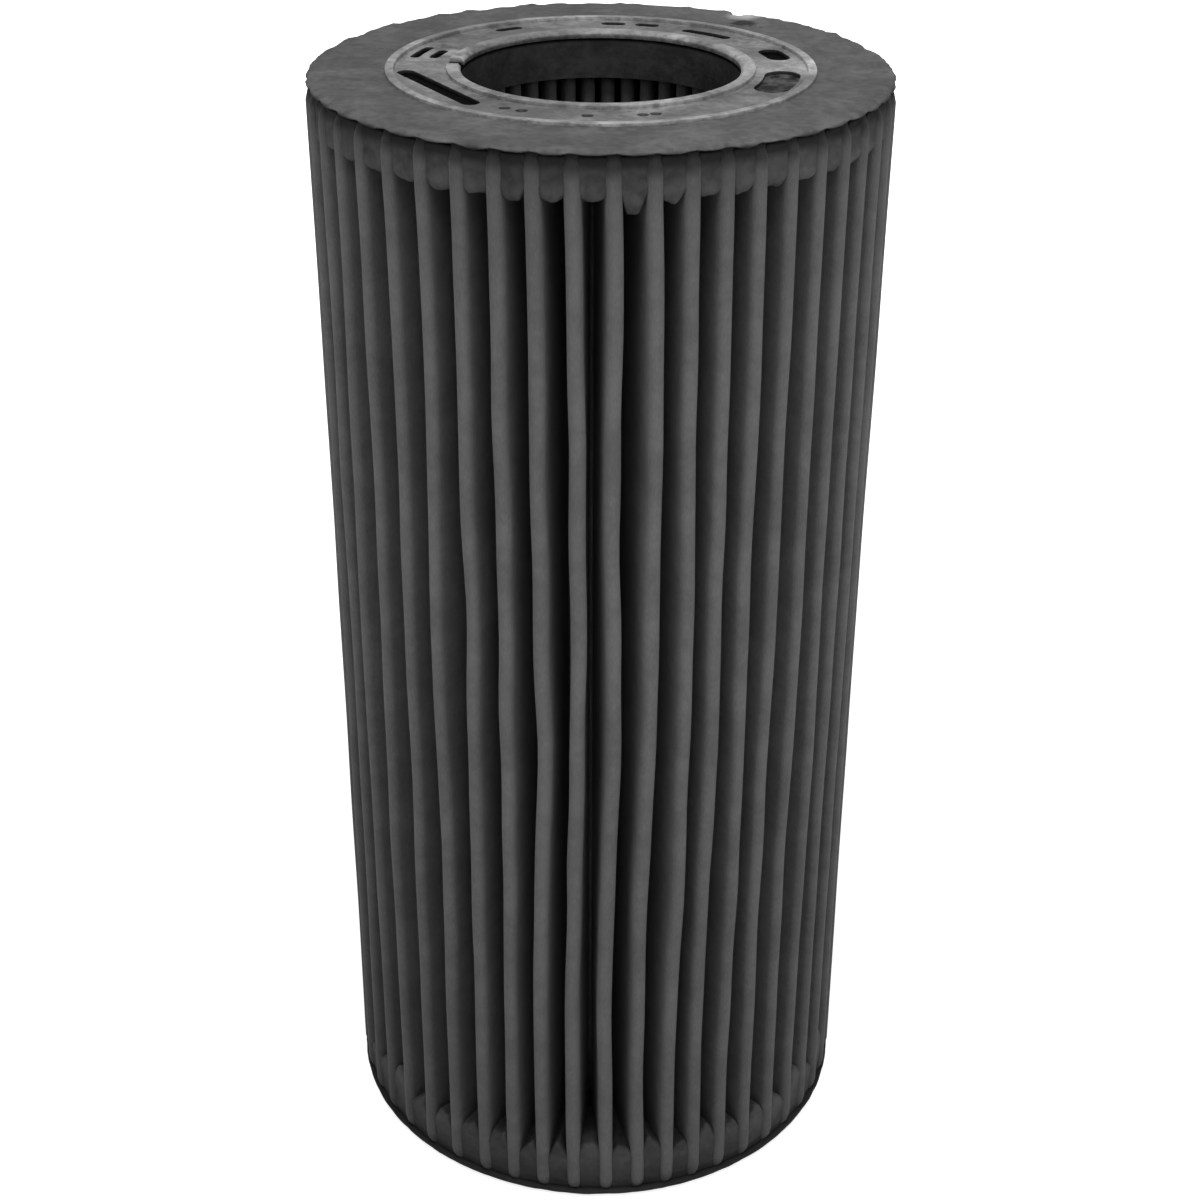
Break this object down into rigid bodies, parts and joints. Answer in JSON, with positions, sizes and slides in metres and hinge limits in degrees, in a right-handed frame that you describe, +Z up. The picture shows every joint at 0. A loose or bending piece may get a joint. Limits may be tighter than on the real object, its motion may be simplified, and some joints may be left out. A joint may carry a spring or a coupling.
{
  "type": "pleated filter element",
  "caption": "Cylindrical pleated filter element with moulded end caps, flush bore rings and a clear bore open at both ends.",
  "frame": {"origin": "centre of the bore in the plane of the lower ring's rims, on which the element stands", "axes": "+Z up along the bore; the straight slot in the upper ring lies towards -X and -Y, the chipped rim towards +X and +Y"},
  "size_m": [0.083, 0.083, 0.1748],
  "materials": {
    "media": "matte non-woven",
    "end_cap": "matte moulded",
    "bore_ring": "matte moulded"
  },
  "bodies": {
    "root": {"pleated_media": "media", "top_end_cap": "end_cap", "bottom_end_cap": "end_cap", "top_bore_ring": "bore_ring", "bottom_bore_ring": "bore_ring"}
  },
  "joints": []
}
